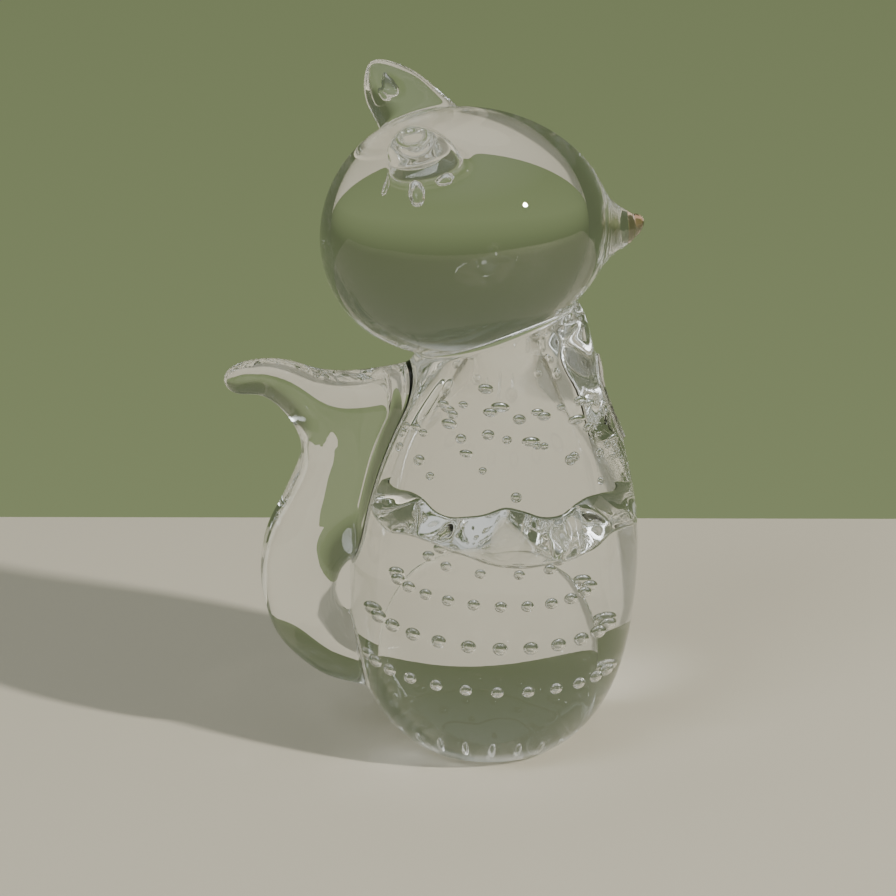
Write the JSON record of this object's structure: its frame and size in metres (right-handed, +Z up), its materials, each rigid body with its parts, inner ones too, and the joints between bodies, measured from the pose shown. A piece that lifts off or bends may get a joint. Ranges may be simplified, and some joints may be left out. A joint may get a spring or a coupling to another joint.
{
  "type": "crystal glass figurine",
  "caption": "Solid clear glass seated squirrel with pear-shaped body, egg head, S-curved tail and rings of trapped air bubbles.",
  "frame": {"origin": "centre of the flat ground base", "axes": "+Z up from the base, +X towards the nose, +Y to the figure's left"},
  "size_m": [0.0786, 0.0542, 0.1294],
  "materials": {
    "clear_glass": "fire-polished, colourless",
    "rose_glass": "fire-polished, faint rose tint"
  },
  "bodies": {
    "root": {"body_core": "clear_glass", "body_casing": "clear_glass", "head": "clear_glass", "snout": "clear_glass", "nose_bead": "rose_glass", "ear_left": "clear_glass", "ear_right": "clear_glass", "tail": "clear_glass"}
  },
  "joints": []
}
